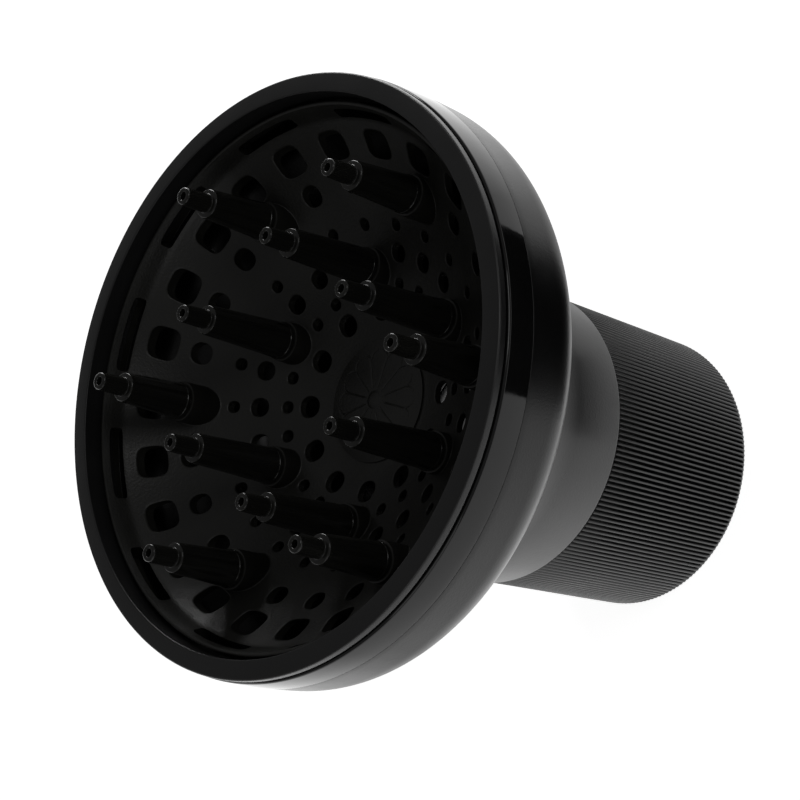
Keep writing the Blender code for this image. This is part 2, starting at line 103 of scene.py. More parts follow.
PLATE_RADIUS = NECK_BORE - GAP
LUG_TOP = 0.0760
SCREW_ANGLES = (30, 150, 270)
JAWS = 6
GRIP_TURN = math.radians(60)
JAW_TRAVEL = 0.0105
PIN_OPEN = 0.0349
PIN_RADIUS = 0.0014
KEY_HALF = 0.0009           # half the side of the square key above a jaw's pin
JAW_OUTER = 0.0366
JAW_INNER = 0.0342
JAW_HALF_ANGLE = math.radians(11.5)

# ---------------------------------------------------------------- sizes of the fine meshes
AROUND = 240                # steps round the bowl, 1.5 degrees each
TURN_STEP = math.tau / AROUND
RIBS = 180                  # ribs round the grip sleeve
RIB_DEPTH = 0.0011
HOLE_FILLET = 0.00035
BOSS_FILLET = 0.0003
FILLET_STEPS = 4
CAP_EDGE = 0.0164
CAP_HUB = 0.0024
PETALS = 12
PETAL_START = 0.0029        # where the petals' loops begin, and how far out they run
PETAL_LENGTH = 0.0109
PETAL_GROOVE = (0.00018, 0.00022)       # half width and depth
PAD_RIBS = 16


# ---------------------------------------------------------------- mesh helpers
def polar(radius, angle, height=0.0):
    """The point at a distance from the axis, an angle and a height."""
    return (radius * math.cos(angle), radius * math.sin(angle), height)


def make_mesh(name, points, faces, smooth_angle=35):
    """A welded mesh object from points and faces, smooth up to an angle."""
    mesh = bpy.data.meshes.new(name)
    mesh.from_pydata([tuple(p) for p in points], [], faces)
    work = bmesh.new()
    work.from_mesh(mesh)
    bmesh.ops.remove_doubles(work, verts=work.verts, dist=0.000002)
    bmesh.ops.recalc_face_normals(work, faces=work.faces)
    work.to_mesh(mesh)
    work.free()
    mesh.shade_smooth()
    mesh.set_sharp_from_angle(angle=math.radians(smooth_angle))
    item = bpy.data.objects.new(name, mesh)
    bpy.context.scene.collection.objects.link(item)
    return item


def eased(profile, steps=3, closed=True):
    """A profile with rounded corners, from (radius, height, corner size) points."""
    path = []
    count = len(profile)
    for i, (radius, height, size) in enumerate(profile):
        corner = Vector((radius, height))
        at_end = not closed and i in (0, count - 1)
        if not size or at_end:
            path.append((radius, height))
            continue
        before = Vector(profile[i - 1][:2]) - corner
        after = Vector(profile[(i + 1) % count][:2]) - corner
        reach = min(size, before.length * 0.49, after.length * 0.49)
        start, end = before.normalized() * reach, after.normalized() * reach
        for k in range(steps + 1):
            t = k / steps
            point = corner + start * (1 - t) ** 2 + end * t ** 2
            path.append((point.x, point.y))
    return path


def bezier(a, b, c, d, count):
    """Points after a, up to and with d, on a cubic Bezier curve."""
    points = []
    for i in range(1, count + 1):
        t = i / count
        s = 1 - t
        weights = (s ** 3, 3 * s * s * t, 3 * s * t * t, t ** 3)
        points.append(tuple(sum(w * p[k] for w, p in zip(weights, (a, b, c, d))) for k in (0, 1)))
    return points


def lathe_data(path, steps, closed=True):
    """Points and faces of a path of (radius, height) turned about Z."""
    count = len(path)
    points, faces = [], []
    for step in range(steps):
        angle = math.tau * step / steps
        points += [polar(radius, angle, height) for radius, height in path]
    for step in range(steps):
        here, there = step * count, (step + 1) % steps * count
        for i in range(count if closed else count - 1):
            j = (i + 1) % count
            faces.append((here + i, there + i, there + j, here + j))
    return points, faces


def lathe(name, path, steps=AROUND, closed=True, smooth_angle=35):
    """A path turned about Z, as an object."""
    return make_mesh(name, *lathe_data(path, steps, closed), smooth_angle)


def evaluated_mesh(item):
    """The mesh that an object shows, with its modifiers or its curve's bevel applied."""
    bpy.context.view_layer.update()
    graph = bpy.context.evaluated_depsgraph_get()
    return bpy.data.meshes.new_from_object(item.evaluated_get(graph))


def slab(name, outlines, low, high, edge=0.0002):
    """Flat outlines, the first outside and the rest holes, as a solid with rounded edges."""
    curve = bpy.data.curves.new(name, "CURVE")
    curve.dimensions = "2D"
    curve.fill_mode = "BOTH"
    curve.extrude = (high - low) / 2 - edge
    curve.bevel_depth = edge
    curve.bevel_resolution = 1
    curve.offset = -edge
    for outline in outlines:
        spline = curve.splines.new("POLY")
        spline.points.add(len(outline) - 1)
        for point, (x, y) in zip(spline.points, outline):
            point.co = (x, y, 0, 1)
        spline.use_cyclic_u = True
    source = bpy.data.objects.new(name, curve)
    bpy.context.scene.collection.objects.link(source)
    mesh = evaluated_mesh(source)
    points = [(v.co.x, v.co.y, v.co.z + (low + high) / 2) for v in mesh.vertices]
    faces = [tuple(p.vertices) for p in mesh.polygons]
    bpy.data.objects.remove(source)
    return make_mesh(name, points, faces, 50)


def joined(name, items):
    """Several objects as one, each part still closed."""
    points, faces = [], []
    for item in items:
        base = len(points)
        points += [tuple(item.matrix_world @ v.co) for v in item.data.vertices]
        faces += [tuple(base + i for i in p.vertices) for p in item.data.polygons]
        bpy.data.objects.remove(item)
    return make_mesh(name, points, faces, 50)


def turned_copy(mesh, name, turn, place=(0, 0, 0)):
    """Another object with the same shape, turned about Z."""
    item = bpy.data.objects.new(name, mesh)
    bpy.context.scene.collection.objects.link(item)
    item.rotation_euler.z = turn
    item.location = place
    return item


def put(item, body, slot, material, *nodes):
    """Make item a piece of the object: what it looks like, what it rides on, what it stands for."""
    item.data.materials.clear()
    item.data.materials.append(material)
    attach(item, body)
    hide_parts(*nodes)
    return item


# ---------------------------------------------------------------- materials
class Nodes:
    """Short names for building one material's node tree."""

    def __init__(self, name, material=None):
        """Start a new material, or go on with one that's there."""
        self.material = material or bpy.data.materials.new(name)
        self.material.use_nodes = True
        self.tree = self.material.node_tree
        self.shader = self.tree.nodes["Principled BSDF"]
        self.place = self.tree.nodes.new("ShaderNodeTexCoord").outputs["Object"]

    def add(self, kind, **settings):
        """A node of a kind, with its sockets or its properties set by name."""
        node = self.tree.nodes.new(kind)
        for key, value in settings.items():
            if key in node.inputs:
                node.inputs[key].default_value = value
            else:
                setattr(node, key, value)
        return node

    def link(self, source, target):
        self.tree.links.new(source, target)

    def noise(self, scale, detail=3.0, roughness=0.55, stretch=None):
        """Noise of so many grains a metre, stretched along the axes if asked."""
        node = self.add("ShaderNodeTexNoise", Scale=scale, Detail=detail, Roughness=roughness)
        place = self.place
        if stretch:
            mapping = self.add("ShaderNodeMapping")
            mapping.inputs["Scale"].default_value = stretch
            self.link(place, mapping.inputs["Vector"])
            place = mapping.outputs["Vector"]
        self.link(place, node.inputs["Vector"])
        return node.outputs["Fac"]

    def spread(self, source, low, high, start=0.3, end=0.7):
        """Map a noise's middle range to low..high."""
        node = self.add("ShaderNodeMapRange")
        for key, value in (("From Min", start), ("From Max", end), ("To Min", low), ("To Max", high)):
            node.inputs[key].default_value = value
        self.link(source, node.inputs["Value"])
        return node.outputs["Result"]

    def mix(self, share, first, second):
        """A colour between two, by a share from 0 to 1."""
        node = self.add("ShaderNodeMix", data_type="RGBA")
        self.link(share, node.inputs[0])
        for socket, colour in ((node.inputs[6], first), (node.inputs[7], second)):
            if isinstance(colour, tuple):
                socket.default_value = (*colour, 1.0)
            else:
                self.link(colour, socket)
        return node.outputs[2]

    def combine(self, operation, first, second):
        """Two values added or multiplied."""
        node = self.add("ShaderNodeMath", operation=operation)
        self.link(first, node.inputs[0])
        self.link(second, node.inputs[1])
        return node.outputs[0]

    def bump(self, source, depth, before=None):
        """Bump of so many metres for a height from 0 to 1."""
        node = self.add("ShaderNodeBump", Distance=depth, Strength=1.0)
        self.link(source, node.inputs["Height"])
        if before:
            self.link(before, node.inputs["Normal"])
        return node.outputs["Normal"]

    def facing_up(self):
        """1 on level surfaces and 0 on upright ones."""
        normal = self.add("ShaderNodeNewGeometry").outputs["Normal"]
        parts = self.add("ShaderNodeSeparateXYZ")
        self.link(normal, parts.inputs[0])
        return parts.outputs["Z"]

    def worn_edges(self, low=0.52, high=0.60):
        """About 1 on exposed edges and 0 elsewhere."""
        node = self.add("ShaderNodeNewGeometry")
        return self.spread(node.outputs["Pointiness"], 0.0, 1.0, low, high)


def plastic(name, dark, light, roughness, swing, grain, wear=0.35, specular=0.5):
    """Moulded plastic: patches of differing gloss, faint scuffs, paler worn edges and a fine grain.

    The grain is (grains a metre, depth).
    """
    n = Nodes(name)
    patches = n.noise(45, 4)
    colour = n.mix(n.spread(patches, 0, 1), dark, light)
    faint = n.combine("MULTIPLY", n.worn_edges(), n.spread(n.noise(160, 3), 0.0, wear))
    paler = tuple(min(1.0, c * 2.6 + 0.006) for c in light)
    n.link(n.mix(faint, colour, paler), n.shader.inputs["Base Color"])
    gloss = n.spread(n.noise(70, 5), roughness - swing, roughness + swing)
    scuffs = n.spread(n.noise(240, 6, 0.7, (1, 1, 0.25)), 0.0, swing, 0.52, 0.75)
    n.link(n.combine("ADD", gloss, scuffs), n.shader.inputs["Roughness"])
    coarse = n.bump(n.noise(300, 2), 0.000012)
    n.link(n.bump(n.noise(grain[0], 2), grain[1], coarse), n.shader.inputs["Normal"])
    n.shader.inputs["Specular IOR Level"].default_value = specular
    return n.material


def grille_plastic_painted_wall_shade(name, dark, light):
    """The dish's matt plastic, with painted shade on upright faces such as the walls of its holes: their
    specular is turned right down so that they look dark as if in shadow.
    """
    material = plastic(name, dark, light, 0.40, 0.05, (1500, 0.00008))
    n = Nodes(name, material)
    # Painted shade: upright faces get far less specular than level ones, so the holes' walls look dark.
    n.link(n.spread(n.facing_up(), 0.06, 0.5, 0.15, 0.31), n.shader.inputs["Specular IOR Level"])
    return material


def rubber(name):
    """Soft rubber: dull, with random patches of paler dust and a fine even grain."""
    n = Nodes(name)
    dust = n.spread(n.noise(900, 5, 0.7), 0, 1)
    n.link(n.mix(dust, (0.030, 0.030, 0.032), (0.048, 0.048, 0.049)), n.shader.inputs["Base Color"])
    n.link(n.spread(n.noise(120, 4), 0.72, 0.92), n.shader.inputs["Roughness"])
    n.link(n.bump(n.noise(2600, 3), 0.00004), n.shader.inputs["Normal"])
    n.shader.inputs["Sheen Weight"].default_value = 0.15
    return n.material


def zinc(name):
    """Zinc-plated steel: fine drawn lines and cloudy patches of gloss."""
    n = Nodes(name)
    clouds = n.spread(n.noise(700, 4), 0, 1)
    n.link(n.mix(clouds, (0.42, 0.42, 0.43), (0.58, 0.58, 0.57)), n.shader.inputs["Base Color"])
    n.link(n.spread(n.noise(1500, 4), 0.22, 0.45), n.shader.inputs["Roughness"])
    n.link(n.bump(n.noise(5000, 2, 0.6, (1, 1, 0.1)), 0.000008), n.shader.inputs["Normal"])
    n.shader.inputs["Metallic"].default_value = 1.0
    return n.material


def make_materials():
    """One material for each kind of surface. The plastics are near black, some of them faintly warm."""
    def shade(value, tint=(1.0, 1.0, 1.03)):
        return tuple(value * c for c in tint)

    warm = (1.04, 1.03, 0.90)
    black = (shade(0.004), shade(0.006))
    return {
        "shell": plastic("satin_shell", *black, 0.30, 0.03, (1700, 0.00003), specular=0.42),
        "gloss": plastic("gloss_trim", shade(0.006), shade(0.008), 0.07, 0.02, (900, 0.0000015), 0.2),
        "bezel": plastic("satin_bezel", shade(0.011), shade(0.015), 0.34, 0.04, (1700, 0.00003)),
        "grille": grille_plastic_painted_wall_shade("matte_grille", shade(0.010, warm), shade(0.015, warm)),
        "finger": plastic("finger_plastic", shade(0.008, warm), shade(0.011, warm), 0.17, 0.03,
                          (3000, 0.000006)),
        "grip": plastic("ribbed_grip", *black, 0.30, 0.04, (2600, 0.00002), specular=0.36),
        "mechanism": plastic("acetal", shade(0.035), shade(0.045), 0.42, 0.06, (2400, 0.00002), 0.2),
        "pad": rubber("pad_rubber"),
        "steel": zinc("zinc_steel"),
    }


# ---------------------------------------------------------------- shell, trim and bezel
def inset(points, distance):
    """A downward path moved inwards, towards the axis side of each of its points."""
    moved = []
    for i, (radius, height) in enumerate(points):
        before = points[max(i - 1, 0)]
        after = points[min(i + 1, len(points) - 1)]
        run = Vector((after[0] - before[0], after[1] - before[1])).normalized()
        moved.append((radius + run.y * distance, height - run.x * distance))
    return moved


def shell_path():
    """Shoulder, funnel and neck outside; snap groove, inside, ledge and upstand."""
    shoulder, funnel, throat = (0.0780, 0.1245), (0.0690, 0.1118), (0.0416, 0.0740)
    top = (CREASE_RADIUS - 0.0001, CREASE_Z)
    curve = [shoulder]
    curve += bezier(shoulder, (0.0777, 0.1180), (0.0752, 0.1151), funnel, 24)
    curve += bezier(funnel, (0.0565, 0.1048), (0.0426, 0.0980), throat, 40)
    straight = [(top[0] + (shoulder[0] - top[0]) * t, top[1] + (shoulder[1] - top[1]) * t)
                for t in (0.25, 0.5, 0.75)]
    outside = [(*p, 0) for p in straight + curve] + [(NECK_RADIUS, NECK_Z, 0.0006)]
    bore = [(NECK_BORE, NECK_Z, 0.0003), (NECK_BORE, 0.0593, 0), (NECK_BORE + 0.0007, 0.0593, 0),
            (NECK_BORE + 0.0007, 0.0615, 0), (NECK_BORE, 0.0615, 0)]
    inside = [(*p, 0) for p in inset([top] + curve, SHELL_WALL)[1:]]
    inside.reverse()
    ledge = [(0.0754, 0.1280, 0), (0.0735, 0.1300, 0.0004), (0.0735, FLANGE_BOTTOM - GAP, 0.0003),
             (FLANGE_RADIUS + GAP, FLANGE_BOTTOM - GAP, 0), (FLANGE_RADIUS + GAP, 0.1409, 0.0002),
             (0.0769, 0.1409, 0.0002), (0.0769, CREASE_Z, 0), (*top, 0.0002)]
    return eased(outside + bore + inside + ledge, 4)


def rectangle(near, far, half):
    """Corners of a rectangle that runs along X."""
    return [(near, -half), (far, -half), (far, half), (near, half)]


def screw_lug(angle):
    """Rounded block inside the neck that takes one of the guide plate's screws."""
    outline = rectangle(0.0335, 0.0398, 0.0040)
    lug = slab("lug", [outline], PLATE_TOP + GAP, LUG_TOP, 0.0004)
    lug.rotation_euler.z = math.radians(angle)
    bpy.context.view_layer.update()
    return lug


def make_shell(looks):
    shell = lathe("shell_body", shell_path())
    lugs = [screw_lug(angle) for angle in SCREW_ANGLES]
    piece = joined("outer_shell_fine", [shell] + lugs)
    put(piece, "bowl", "shell", looks["shell"], "outer_shell")


def make_trim(looks):
    low = CREASE_Z + 0.00012
    path = eased([(0.0772, TRIM_TOP, 0.0001), (0.0780, TRIM_TOP, 0.0002),
                  (0.0784, TRIM_TOP - 0.0005, 0.0003), (0.07862, 0.1385, 0),
                  (CREASE_RADIUS - 0.00002, low, 0.00015), (0.0772, low, 0)], 4)
    put(lathe("trim_ring_fine", path), "bowl", "gloss", looks["gloss"], "trim_ring")


def make_bezel(looks):
    skirt = FLANGE_TOP + GAP
    path = eased([(BEZEL_BORE, RIM_Z + 0.0006, 0.0005), (RIM_RADIUS, RIM_Z + 0.0001, 0.0007),
                  (RIM_RADIUS, 0.1430, 0.0003), (RIM_RADIUS - 0.0004, 0.1424, 0.0003),
                  (0.0754, 0.1424, 0), (0.0754, skirt, 0.0002), (BEZEL_BORE, skirt, 0.0002)], 5)
    put(lathe("front_bezel_fine", path), "bowl", "bezel", looks["bezel"], "front_bezel")


# ---------------------------------------------------------------- grille dish
def sphere_height(radius, sphere=DISH_SPHERE):
    return DISH_FLOOR_Z + DISH_SPHERE - math.sqrt(sphere ** 2 - radius ** 2)


def dish_top(radius):
    """Height of the dish's inside at a distance from the axis."""
    if radius <= DISH_FLAT:
        return sphere_height(DISH_FLAT)
    if radius <= WALL_FOOT:
        return sphere_height(radius)
    foot = sphere_height(WALL_FOOT)
    if radius <= WALL_BEND[0]:
        return foot + (WALL_BEND[1] - foot) * (radius - WALL_FOOT) / (WALL_BEND[0] - WALL_FOOT)
    share = (radius - WALL_BEND[0]) / (DISH_EDGE - WALL_BEND[0])
    return WALL_BEND[1] + (DISH_EDGE_Z - WALL_BEND[1]) * min(share, 1.0)


def dish_under(radius):
    """Height of the dish's underside."""
    return min(sphere_height(max(radius, DISH_FLAT), DISH_SPHERE + DISH_WALL), FLANGE_BOTTOM)


class Dish:
    """The grille dish's points and faces, built from cells that share their edges."""

    def __init__(self):
        self.points, self.faces = [], []

    def strip(self, first, second, loop=True):
        """Quads between two rows of points of the same length."""
        base = len(self.points)
        self.points += first + second
        count = len(first)
        for i in range(count if loop else count - 1):
            j = (i + 1) % count
            self.faces.append((base + i, base + j, base + count + j, base + count + i))

    def rows(self, rows):
        for first, second in zip(rows, rows[1:]):
            self.strip(first, second)

    def plain(self, radii, start, end):
        """A patch with no hole, inside and underside, between two step numbers."""
        for height in (dish_top, dish_under):
            for inner, outer in zip(radii, radii[1:]):
                arcs = [[polar(r, TURN_STEP * s, height(r)) for s in range(start, end + 1)]
                        for r in (inner, outer)]
                self.strip(*arcs, loop=False)

    def cell(self, radii, start, end, centre, contour, boss_top=None):
        """A patch with a hole in it, and a boss round the hole if boss_top is its height."""
        edge = [(r, start) for r in radii[:-1]] + [(radii[-1], s) for s in range(start, end)]
        edge += [(r, end) for r in reversed(radii[1:])] + [(radii[0], s) for s in range(end, start, -1)]
        middle = TURN_STEP * (start + end) / 2
        cosine, sine = math.cos(middle), math.sin(middle)
        outer = []
        for r, s in edge:
            x, y, _ = polar(r, TURN_STEP * s - middle)
            outer.append((x - centre, y))
        angles = [math.atan2(y, x) for x, y in outer]

        def level(points, height):
            row = []
            for x, y in points:
                x += centre
                z = height(math.hypot(x, y))
                row.append((x * cosine - y * sine, x * sine + y * cosine, z))
            return row

        def between(share, grow):
            inner = [contour(a, grow) for a in angles]
            return [(p[0] + (q[0] - p[0]) * share, p[1] + (q[1] - p[1]) * share)
                    for p, q in zip(inner, outer)]

        rows = []
        if boss_top is None:
            rows += [level(between(t, HOLE_FILLET), dish_top) for t in (1.0, 0.6, 0.25, 0.07)]
            for k in range(FILLET_STEPS + 1):
                bend = math.pi / 2 * (1 - k / FILLET_STEPS)
                grow = HOLE_FILLET * (1 - math.cos(bend))
                drop = HOLE_FILLET * (1 - math.sin(bend))
                rows.append(level(between(0.0, grow), lambda r, d=drop: dish_top(r) - d))
        else:
            rows += self.boss_rows(level, angles, between, boss_top)
        rows.append(level(between(0.0, 0.0), dish_under))
        rows += [level(between(t, 0.0), dish_under) for t in (0.3, 1.0)]
        self.rows(rows)

    @staticmethod
    def boss_rows(level, angles, between, boss_top):
        """From the patch's edge up the outside of a boss and in to its bore."""
        def circle(radius):
            return [(radius * math.cos(a), radius * math.sin(a)) for a in angles]

        foot = BOSS_RADIUS + BOSS_FILLET
        rim = 0.0003
        reach = foot - (TENON_RADIUS + GAP)
        rows = [level(between(1.0, reach), dish_top)]
        for k in range(FILLET_STEPS + 1):
            bend = math.pi / 2 * k / FILLET_STEPS
            radius = foot - BOSS_FILLET * math.sin(bend)
            lift = BOSS_FILLET * (1 - math.cos(bend))
            rows.append(level(circle(radius), lambda r, d=lift: dish_top(r) + d))
        for k in range(3):
            bend = math.pi / 2 * k / 2
            radius = BOSS_RADIUS - rim * (1 - math.cos(bend))
            height = boss_top - rim * (1 - math.sin(bend))
            rows.append(level(circle(radius), lambda r, z=height: z))
        rows.append(level(circle(TENON_RADIUS + GAP), lambda r: boss_top))
        return rows


def superellipse(size_radial, size_round, power):
    """A contour about its own centre: the point in a direction, grown outwards by a distance."""
    def contour(angle, grow=0.0):
        a, b = size_radial / 2 + grow, size_round / 2 + grow
        x, y = math.cos(angle) / a, math.sin(angle) / b
        reach = (abs(x) ** power + abs(y) ** power) ** (-1 / power)
        return (reach * math.cos(angle), reach * math.sin(angle))
    return contour


def spaced(low, high, count):
    """Evenly spaced values, both ends included."""
    return [low + (high - low) * i / count for i in range(count + 1)]


# where each ring of holes' patch is divided, from the middle out
RING_7 = spaced(0.0205, 0.0280, 5)
RING_6 = spaced(0.0280, 0.0338, 4)
RING_5 = spaced(0.0338, 0.0423, 6)
RING_4 = spaced(0.0423, 0.0479, 4)
RING_3 = spaced(0.0479, 0.0598, 8)
RING_2 = spaced(0.0598, 0.0667, 6)


def steps_in(degrees):
    """How many of the dish's steps make up an angle."""
    return round(math.radians(degrees) / TURN_STEP)


def add_dish_cells(dish):
    """Every ring of holes and both rings of bosses."""
    half = steps_in(7.5)
    wide = steps_in(15)
    boss_half = steps_in(10.5)
    tenon = superellipse(2 * (TENON_RADIUS + GAP), 2 * (TENON_RADIUS + GAP), 2)
    for degrees in range(0, 360, 15):
        at = steps_in(degrees)
        beside_boss = degrees % 60 in (15, 45)
        under_boss = degrees % 60 == 30
        low = at - half if degrees % 60 != 45 else at - half + (boss_half - half)
        high = at + half if degrees % 60 != 15 else at + half - (boss_half - half)
        if under_boss:
            dish.cell(RING_6[:-1] + RING_5, at - boss_half, at + boss_half, INNER_FINGERS["ring"], tenon,
                      INNER_FINGERS["foot"] - GAP)
        else:
            shift = 0 if not beside_boss else (at - (low + high) / 2) * TURN_STEP
            for radii, ring, sizes in ((RING_6, 0.0308, (0.0030, 0.0032)),
                                       (RING_5, 0.0385, (0.0046, 0.0050))):
                dish.cell(radii, low, high, ring, moved(superellipse(*sizes, 2.2), shift * ring))
        dish.cell(RING_4, at - half, at + half, 0.0452, superellipse(0.0028, 0.0031, 2.2))
        if degrees % 60 == 0:
            dish.cell(RING_3, at - half, at + half, OUTER_FINGERS["ring"], tenon,
                      OUTER_FINGERS["foot"] - GAP)
        else:
            dish.cell(RING_3, at - half, at + half, 0.0550, superellipse(0.0047, 0.0058, 2.3))
        dish.cell(RING_2, at - half, at + half, 0.0632, superellipse(0.0061, 0.0088, 3.4))
        if degrees % 30 == 0:
            dish.cell(RING_7, at - wide, at + wide, 0.0243, superellipse(0.0056, 0.0057, 2.2))


def moved(contour, shift):
    """The same contour, moved round its ring by a distance."""
    def shifted(angle, grow=0.0):
        x, y = contour(angle, grow)
        return (x, y + shift)
    return shifted


def slot_cutter(middle):
    """Cutter for one arc slot, with ends rounded both on the dish's floor and on its steep wall."""
    count, power = 32, 9
    foot = sphere_height(SLOT_INNER) + 0.0004
    wall_foot = 0.0695
    points, faces = [], []
    for i in range(count + 1):
        share = math.sin(math.pi * (i / count - 0.5))
        fullness = max(0.0, 1 - abs(share) ** power) ** (1 / power)
        angle = middle + SLOT_HALF_ANGLE * share
        inner = wall_foot - (wall_foot - SLOT_INNER) * fullness
        top = foot + (SLOT_TOP - foot) * fullness
        points += [polar(inner, angle, 0.125), polar(SLOT_OUTER, angle, 0.125),
                   polar(SLOT_OUTER, angle, top), polar(inner, angle, top)]
    for i in range(count):
        for k in range(4):
            j = (k + 1) % 4
            faces.append((4 * i + k, 4 * i + j, 4 * i + 4 + j, 4 * i + 4 + k))
    faces += [(0, 1, 2, 3), tuple(4 * count + k for k in (3, 2, 1, 0))]
    return make_mesh("slot", points, faces)


def slot_cutters():
    """The twelve arc slots at the foot of the dish's front wall."""
    return joined("slot_cutters", [slot_cutter(math.radians(15 + 30 * i)) for i in range(12)])


def make_dish(looks):
    dish = Dish()
    dish.plain([DISH_BORE, 0.0110, 0.0140, DISH_FLAT, 0.0190, 0.0205], 0, AROUND)
    add_dish_cells(dish)
    wall = [0.0667, 0.0676, WALL_FOOT - 0.0003, WALL_FOOT + 0.0002]
    wall += spaced(0.0690, WALL_BEND[0], 3) + spaced(WALL_BEND[0], DISH_EDGE, 3)[1:]
    dish.plain(wall, 0, AROUND)
    rim = eased([(DISH_EDGE, DISH_EDGE_Z, 0), (DISH_EDGE + 0.0005, DISH_EDGE_Z + 0.0002, 0.0003),
                 (DISH_EDGE + 0.001, DISH_EDGE_Z, 0.0002), (DISH_EDGE + 0.001, FLANGE_TOP, 0),
                 (FLANGE_RADIUS, FLANGE_TOP, 0), (FLANGE_RADIUS, FLANGE_BOTTOM, 0),
                 (DISH_EDGE, FLANGE_BOTTOM, 0)], 3, closed=False)
    rows = [[polar(r, TURN_STEP * s, z) for s in range(AROUND)] for r, z in rim]
    dish.rows(rows)
    bore = [[polar(DISH_BORE, TURN_STEP * s, z) for s in range(AROUND)]
            for z in (dish_top(DISH_BORE), dish_under(DISH_BORE))]
    dish.rows(bore)
    piece = make_mesh("grille_dish_fine", dish.points, dish.faces, 40)
    cutter = slot_cutters()
    modifier = piece.modifiers.new("Slots", "BOOLEAN")
    modifier.operation = "DIFFERENCE"
    modifier.solver = "EXACT"
    modifier.object = cutter
    cut = evaluated_mesh(piece)
    piece.modifiers.clear()
    piece.data = cut
    cut.set_sharp_from_angle(angle=math.radians(40))
    bpy.data.objects.remove(cutter)
    put(piece, "bowl", "grille", looks["grille"], "grille_dish")


def cap_top(radius, angle):
    """Height of the cap above its seat: a low hub, a shallow dome and the petals' grooves."""
    if radius < CAP_HUB:
        return 0.0017 - 0.0005 * (radius / CAP_HUB) ** 4
    dome = 0.0012 - 0.0011 * ((radius - CAP_HUB) / (CAP_EDGE - CAP_HUB)) ** 2
    along = (radius - PETAL_START) / PETAL_LENGTH
    if not 0 < along < 1:
        return dome
    pitch = math.tau / PETALS
    from_middle = abs((angle + pitch / 2) % pitch - pitch / 2) * radius
    closing = max(0.0, (along - 0.72) / 0.28)
    side = pitch / 2 * radius * math.sqrt(1 - closing ** 2)
    half_width, depth = PETAL_GROOVE
    return dome - depth * math.exp(-((from_middle - side) / half_width) ** 2) * min(1.0, along * 8)


def make_cap(looks):
    """Cap over the dish's middle: a low hub and twelve engraved petals."""
    seat = sphere_height(DISH_FLAT) + GAP
    around, stem = 432, 0.0080
    angles = [math.tau * k / around for k in range(around)]
    radii = [0.0, 0.0010, 0.0016, 0.0020, 0.0022, CAP_HUB] + spaced(0.0027, 0.0156, 54)
    radii += [0.0159, 0.0162, CAP_EDGE]
    points, faces = [], []
    for radius in radii:
        points += [polar(radius, a, seat + cap_top(radius, a)) for a in angles]
    for radius, height in ((CAP_EDGE, seat), (stem, seat), (stem, seat - 0.0026), (0.0, seat - 0.0026)):
        points += [polar(radius, a, height) for a in angles]
    for row in range(len(points) // around - 1):
        here, there = row * around, (row + 1) * around
        for k in range(around):
            j = (k + 1) % around
            faces.append((here + k, here + j, there + j, there + k))
    piece = make_mesh("centre_cap_fine", points, faces, 40)
    put(piece, "bowl", "grille", looks["grille"], "centre_cap")


# ---------------------------------------------------------------- fingers
def finger_path(group):
    """Hollow finger: rounded tip, step, tapered body with a shouldered foot, and its tenon."""
    tip, foot = group["tip"], group["foot"]
    step = tip - STEP_DROP
    end = sphere_height(group["ring"] - BOSS_RADIUS) - DISH_WALL - 0.0005
    return eased([(0.0010, tip - 0.0003, 0.0003), (0.0016, tip, 0.0004), (0.0023, tip - 0.0003, 0.0005),
                  (0.0024, tip - 0.0012, 0.0003), (0.0026, step + 0.0001, 0.0002), (0.0039, step, 0.0005),
                  (0.0040, step - 0.0012, 0.0003), (0.0049, foot + 0.0012, 0.0002),
                  (0.0051, foot + 0.0010, 0.0002), (0.0051, foot, 0.0002), (TENON_RADIUS, foot, 0),
                  (TENON_RADIUS, end, 0.0002), (0.0018, end, 0), (0.0018, tip - 0.0040, 0),
                  (0.0010, tip - 0.0025, 0)], 4)


def make_fingers(looks):
    for label, group in (("outer", OUTER_FINGERS), ("inner", INNER_FINGERS)):
        source = lathe(f"{label}_finger_shape", finger_path(group), 48)
        mesh = source.data
        bpy.data.objects.remove(source)
        for number in range(6):
            angle = math.radians(group["start"] + 60 * number)
            place = polar(group["ring"], angle)
            piece = turned_copy(mesh, f"{label}_finger_fine_{number + 1}", angle, place)
            put(piece, "bowl", "finger", looks["finger"], f"{label}_finger_{number + 1}")


